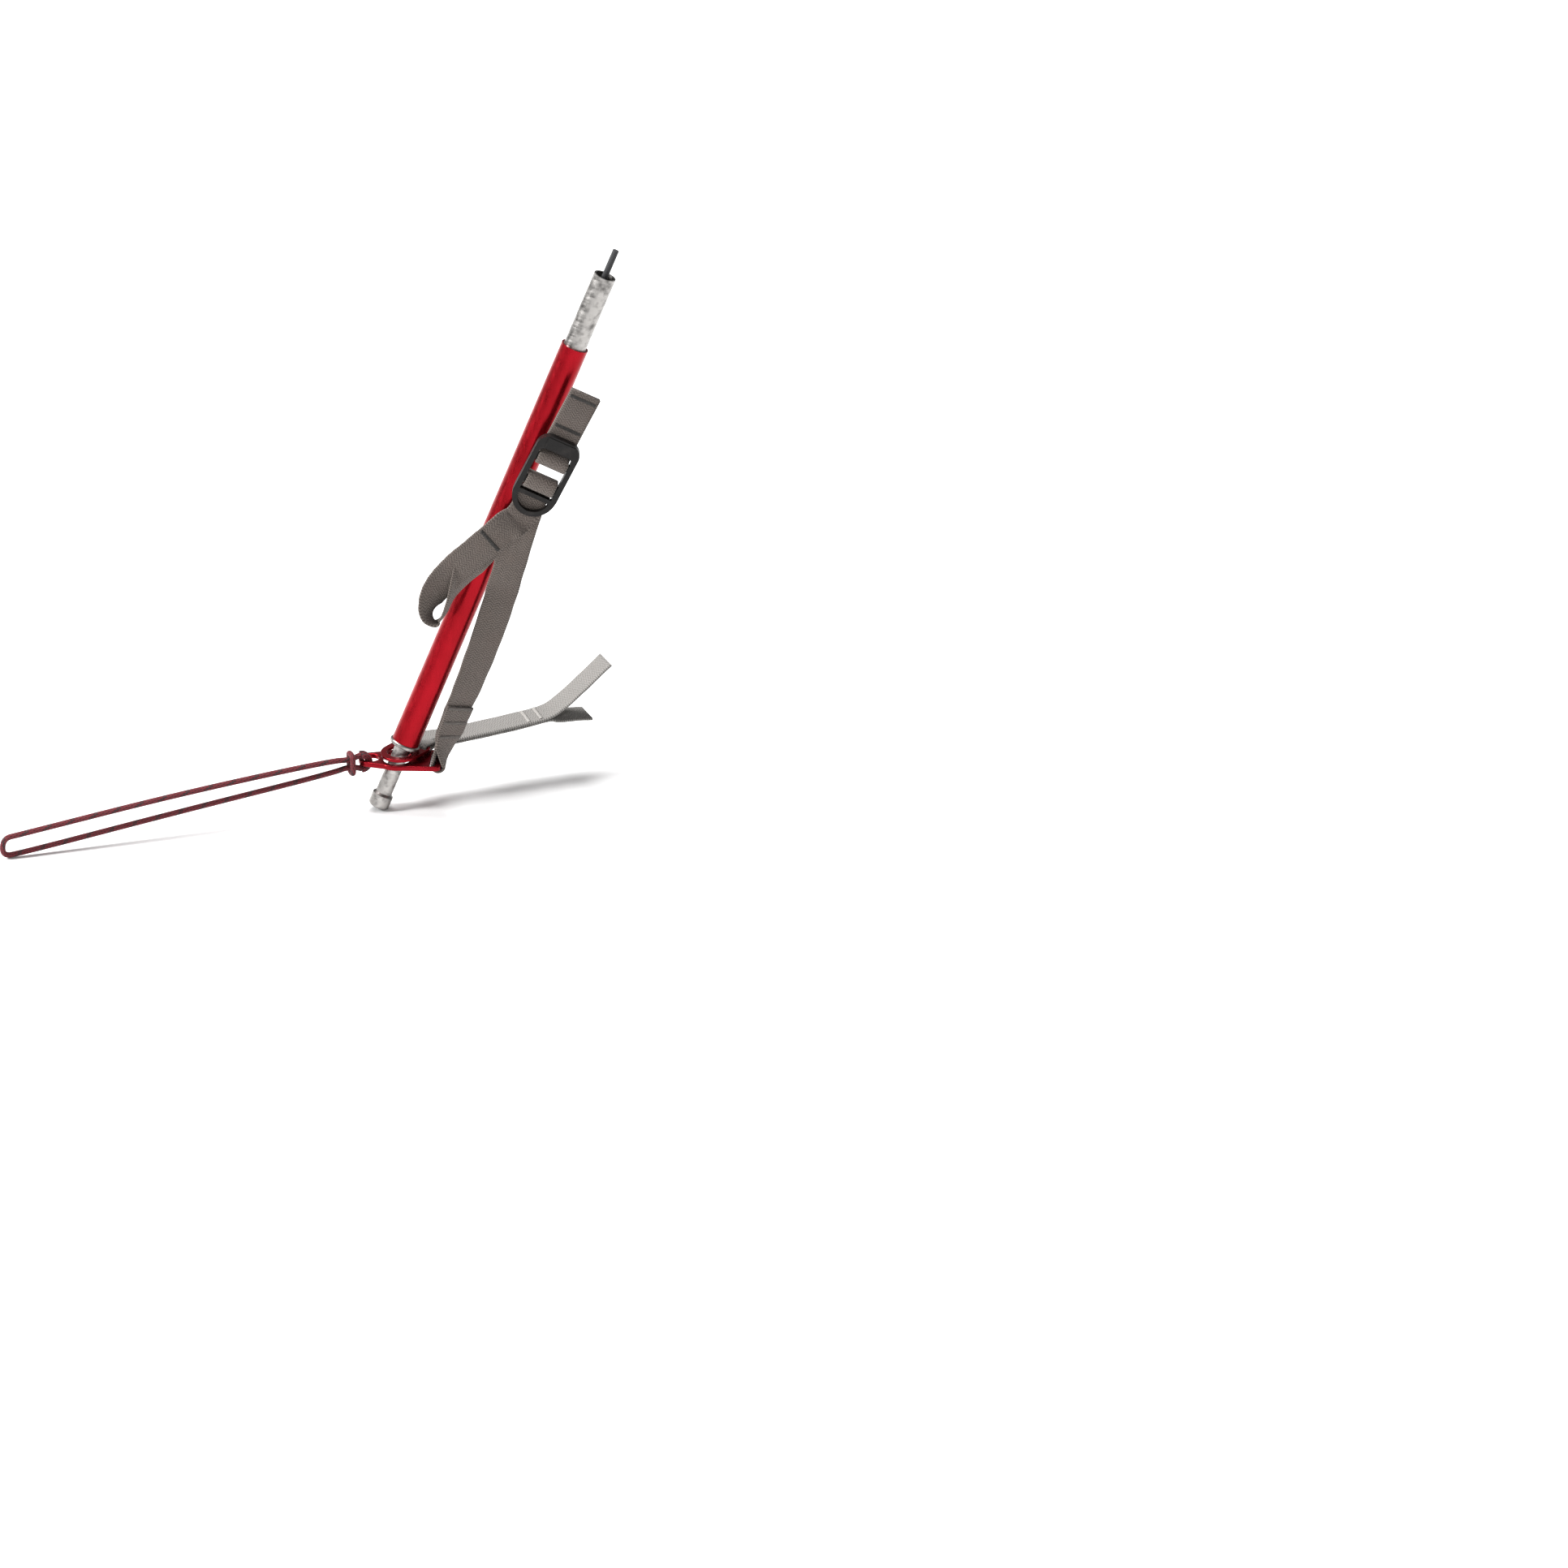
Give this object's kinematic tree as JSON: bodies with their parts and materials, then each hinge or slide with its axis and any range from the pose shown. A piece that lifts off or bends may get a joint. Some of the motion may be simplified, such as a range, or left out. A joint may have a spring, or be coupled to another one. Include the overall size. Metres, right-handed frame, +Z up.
{
  "type": "tent corner stake-out anchor",
  "caption": "Tent pole foot with tip plates, ground-anchor cord loop, and a tension strap with ladderlock buckle and pull loop.",
  "frame": {"origin": "on the pole's axis, in the middle of the tip's round end", "axes": "+Z up, +X with the pole's lean, -Y out of the tent corner's outside face"},
  "size_m": [0.1925, 0.0762, 0.1853],
  "materials": {
    "red_anodised": "satin red anodised",
    "bare_aluminium": "machined",
    "elastic_cord": "braided cover",
    "dark_webbing": "woven polyester",
    "light_webbing": "woven polyester",
    "dark_thread": "polyester thread",
    "light_thread": "polyester thread",
    "black_plastic": "moulded acetal",
    "red_cord": "braided sheath"
  },
  "bodies": {
    "pole": {"pole_tube": "red_anodised", "pole_tip": "bare_aluminium", "ferrule": "bare_aluminium", "shock_cord": "elastic_cord", "shock_cord_knot": "elastic_cord"},
    "fly_anchor": {"fly_plate": "red_anodised"},
    "strap": {"strap_foot": "dark_webbing", "strap_bartack": "dark_thread", "tension_strap": "dark_webbing"},
    "buckle": {"ladderlock": "black_plastic", "strap_in_buckle": "dark_webbing"},
    "tail": {"tail_loop": "dark_webbing", "tail_bartack": "dark_thread"},
    "anchor_tab": {"anchor_web": "dark_webbing", "anchor_bartack": "dark_thread"},
    "body_anchor": {"body_plate": "red_anodised", "body_web_loop": "light_webbing"},
    "body_run": {"body_web": "light_webbing", "edge_web": "light_webbing", "floor_tab": "light_webbing", "web_bartack": "light_thread"},
    "ground_loop": {"stake_loop": "red_cord", "loop_hitch": "red_cord"}
  },
  "joints": [
    {"name": "fly_plate_slide", "type": "slide", "parent": "pole", "child": "fly_anchor", "axis": [-0.3745, -0.05, -0.9259], "range_m": [0, 0.02]},
    {"name": "strap_swing", "type": "hinge", "parent": "fly_anchor", "child": "strap", "pos_m": [0.01806, -0.00046, 0.01295], "axis": [0.07, 0.9974, -0.0163], "range_deg": [0, 60]},
    {"name": "buckle_slide", "type": "slide", "parent": "strap", "child": "buckle", "axis": [-0.3066, 0.006, -0.9518], "range_m": [-0.005, 0.008], "deforming": ["tension_strap"]},
    {"name": "tail_slide", "type": "slide", "parent": "buckle", "child": "tail", "axis": [-0.4351, 0.02, -0.9002], "range_m": [-0.005, 0.008], "deforming": ["tail_loop"]},
    {"name": "anchor_tab_swing", "type": "hinge", "parent": "buckle", "child": "anchor_tab", "pos_m": [0.05352, -0.00372, 0.11602], "axis": [-0.9003, 0, 0.4352], "range_deg": [0, 12]},
    {"name": "body_plate_swivel", "type": "hinge", "parent": "pole", "child": "body_anchor", "pos_m": [0.00612, 0.00082, 0.01513], "axis": [-0.0262, -0.0349, 0.999], "range_deg": [0, 25]},
    {"name": "body_run_lift", "type": "hinge", "parent": "body_anchor", "child": "body_run", "pos_m": [0.01421, 0.01046, 0.01568], "axis": [0.766, -0.6428, -0.0024], "range_deg": [0, 35]},
    {"name": "ground_loop_lift", "type": "hinge", "parent": "fly_anchor", "child": "ground_loop", "pos_m": [-0.00611, 0.00033, 0.01234], "axis": [-0.3321, 0.9429, 0.0242], "range_deg": [0, 60]}
  ],
  "couplings": [
    {"joint": "tail_slide", "follows": "buckle_slide", "ratio": 1}
  ]
}
